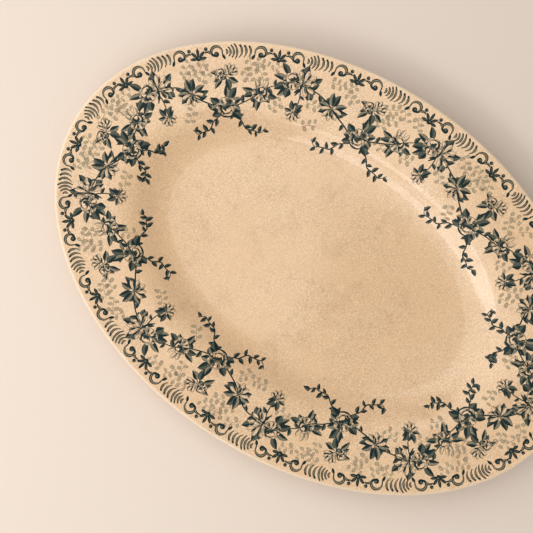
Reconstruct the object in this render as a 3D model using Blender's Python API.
"""An oval china serving platter, moulded and fired in one piece.

Metres, +Z up. The platter rests on its foot ring at Z = 0, with its length along X and its width along Y.
Every horizontal section is an ellipse. A station is a share of the way in from the lip, 0 at the lip's outline
and 1 where the well's flat floor begins, and it goes on past 1 towards the centre.
"""

import math

import bmesh
import bpy

# Outline of the lip
LENGTH = 0.400
WIDTH = 0.277
HEIGHT = 0.030

# Flat floor of the well
FLOOR_LENGTH = 0.250
FLOOR_WIDTH = 0.149
FLOOR_TOP = 0.0075
FLOOR_THICKNESS = 0.0047

# Rim, from the lip to where the wall of the well begins
RIM_STATION = 0.73
RIM_INNER_TOP = 0.0212
RIM_HOLLOW = 0.0006
LIP_RADIUS = 0.0019
RIM_THICKNESS = 0.0046

# Foot ring under the edge of the floor
FOOT_OUTER_STATION = 0.955
FOOT_INNER_STATION = 1.030
FOOT_CHAMFER = 0.0008

# Fineness of the facets
SEGMENTS = 112
RIM_STEPS = 5
WALL_STEPS = 8
LIP_STEPS = 5

GLAZE_COLOUR = (0.79, 0.54, 0.32, 1.0)
GLAZE_ROUGHNESS = 0.22


def semi_axes(station):
    """Half the length and half the width of the section at a station."""
    half_length = LENGTH / 2 + (FLOOR_LENGTH - LENGTH) / 2 * station
    half_width = WIDTH / 2 + (FLOOR_WIDTH - WIDTH) / 2 * station
    return half_length, half_width


def station_of_inset(inset):
    """The station this far in from the lip, measured along the width."""
    return inset / ((WIDTH - FLOOR_WIDTH) / 2)


def smooth_step(share):
    return share * share * (3 - 2 * share)


def rim_top(share):
    """Height of the rim's upper face: 0 is the lip and 1 the top of the well's wall. The face is slightly hollow."""
    straight = HEIGHT - LIP_RADIUS * 0.4 + (RIM_INNER_TOP - HEIGHT + LIP_RADIUS * 0.4) * share
    return straight - RIM_HOLLOW * math.sin(math.pi * share)


def upper_stations():
    """(station, height) from the edge of the floor out to the lip, up the well's wall and across the rim."""
    stations = []
    for step in range(WALL_STEPS + 1):
        share = step / WALL_STEPS
        station = 1 + (RIM_STATION - 1) * share
        stations.append((station, FLOOR_TOP + (RIM_INNER_TOP - FLOOR_TOP) * smooth_step(share)))
    outermost = station_of_inset(LIP_RADIUS * 1.6)
    for step in range(1, RIM_STEPS + 1):
        share = 1 - step / RIM_STEPS
        station = outermost + (RIM_STATION - outermost) * share
        stations.append((station, rim_top(share)))
    return stations


def lip_stations():
    """(station, height) round the lip's half circle, from above to below."""
    centre_height = HEIGHT - LIP_RADIUS
    stations = []
    for step in range(LIP_STEPS + 1):
        angle = math.radians(80) - math.radians(170) * step / LIP_STEPS
        inset = LIP_RADIUS * (1 - math.cos(angle))
        stations.append((station_of_inset(inset), centre_height + LIP_RADIUS * math.sin(angle)))
    return stations


def lower_stations():
    """(station, height) under the rim, down the outside of the wall and round the foot ring to its inner edge."""
    wall_top_station = RIM_STATION - station_of_inset(RIM_THICKNESS * 0.35)
    wall_top = RIM_INNER_TOP - RIM_THICKNESS
    foot_top = FLOOR_TOP - FLOOR_THICKNESS
    lip_station, lip_height = lip_stations()[-1]
    stations = []
    for step in range(1, RIM_STEPS + 1):
        share = step / RIM_STEPS
        station = lip_station + (wall_top_station - lip_station) * share
        stations.append((station, lip_height + (wall_top - lip_height) * share))
    for step in range(1, WALL_STEPS + 1):
        share = step / WALL_STEPS
        station = wall_top_station + (FOOT_OUTER_STATION - wall_top_station) * share
        stations.append((station, wall_top + (foot_top - wall_top) * smooth_step(share)))
    chamfer = station_of_inset(FOOT_CHAMFER)
    stations.append((FOOT_OUTER_STATION + chamfer * 0.5, FOOT_CHAMFER))
    stations.append((FOOT_OUTER_STATION + chamfer * 1.5, 0.0))
    stations.append((FOOT_INNER_STATION, 0.0))
    stations.append((FOOT_INNER_STATION + chamfer, FOOT_CHAMFER))
    stations.append((FOOT_INNER_STATION + chamfer * 1.5, foot_top))
    return stations


def add_ring(solid, station, height):
    """The vertices of an elliptical section, in order round it, made from Blender's circle."""
    half_length, half_width = semi_axes(station)
    ring = bmesh.ops.create_circle(solid, segments=SEGMENTS, radius=1.0)["verts"]
    bmesh.ops.scale(solid, vec=(half_length, half_width, 1.0), verts=ring)
    bmesh.ops.translate(solid, vec=(0.0, 0.0, height), verts=ring)
    return ring


def add_band(solid, inner, outer):
    """The faces of the loft between two neighbouring sections."""
    for here in range(SEGMENTS):
        after = (here + 1) % SEGMENTS
        solid.faces.new((inner[here], inner[after], outer[after], outer[here]))


def platter_mesh():
    """A loft over every section, closed by the floor's upper and lower faces."""
    solid = bmesh.new()
    rings = [add_ring(solid, *station) for station in upper_stations() + lip_stations() + lower_stations()]
    for inner, outer in zip(rings, rings[1:]):
        add_band(solid, inner, outer)
    solid.faces.new(rings[0])
    solid.faces.new(rings[-1])
    bmesh.ops.recalc_face_normals(solid, faces=solid.faces)
    mesh = bpy.data.meshes.new("platter_body")
    solid.to_mesh(mesh)
    solid.free()
    mesh.shade_smooth()
    mesh.set_sharp_from_angle(angle=math.radians(40))
    return mesh


def glaze_material():
    material = bpy.data.materials.new("cream_glaze")
    material.use_nodes = True
    shader = material.node_tree.nodes["Principled BSDF"]
    shader.inputs["Base Color"].default_value = GLAZE_COLOUR
    shader.inputs["Roughness"].default_value = GLAZE_ROUGHNESS
    shader.inputs["Metallic"].default_value = 0.0
    return material


def main():
    for obj in list(bpy.data.objects):
        bpy.data.objects.remove(obj, do_unlink=True)
    collection = bpy.data.collections.new("oval_platter")
    bpy.context.scene.collection.children.link(collection)
    body = bpy.data.objects.new("platter_body", platter_mesh())
    body.data.materials.append(glaze_material())
    collection.objects.link(body)


main()
